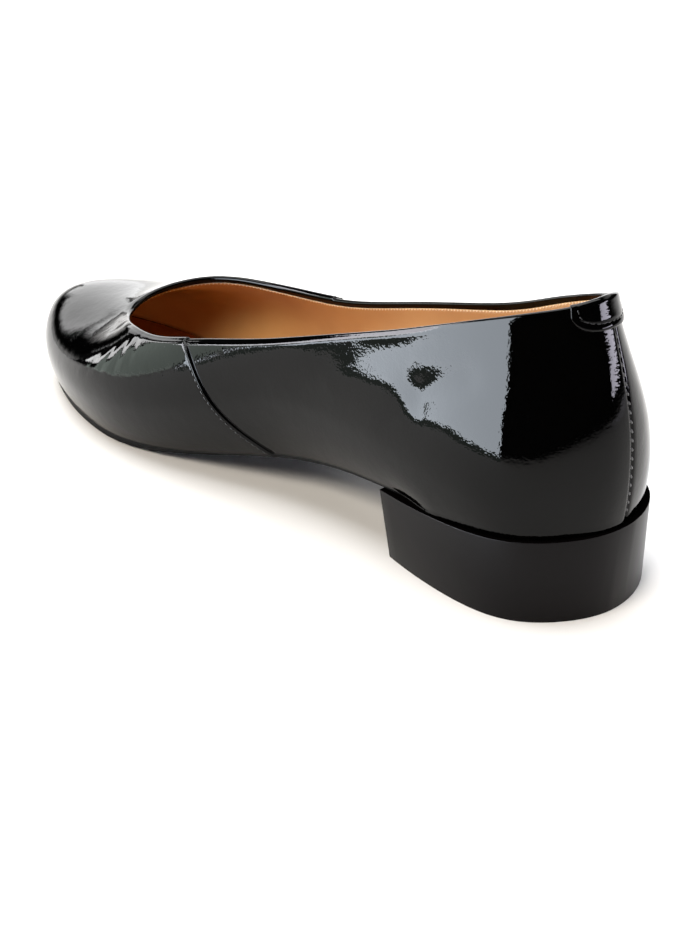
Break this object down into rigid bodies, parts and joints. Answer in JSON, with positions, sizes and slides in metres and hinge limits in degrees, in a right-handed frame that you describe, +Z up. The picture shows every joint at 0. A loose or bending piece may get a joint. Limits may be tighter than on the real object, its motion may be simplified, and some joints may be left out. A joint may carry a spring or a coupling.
{
  "type": "ballet flat",
  "caption": "Low-heeled ballet flat for the left foot: hollow lapped leather upper, half-round back tab, thin sole, block heel and insole.",
  "frame": {"origin": "middle of the shoe's outer box, on the floor under the heel and the ball", "axes": "+X toward the toe, +Y toward the outer side of the left foot, +Z up"},
  "size_m": [0.2496, 0.084, 0.0825],
  "materials": {
    "patent": "black patent, high gloss",
    "sole": "matte black",
    "heel_stock": "satin black",
    "sock": "tan, smooth and matte"
  },
  "bodies": {
    "root": {"upper": "patent", "heel_tab": "patent", "outsole": "sole", "heel": "heel_stock", "insole": "sock"}
  },
  "joints": []
}
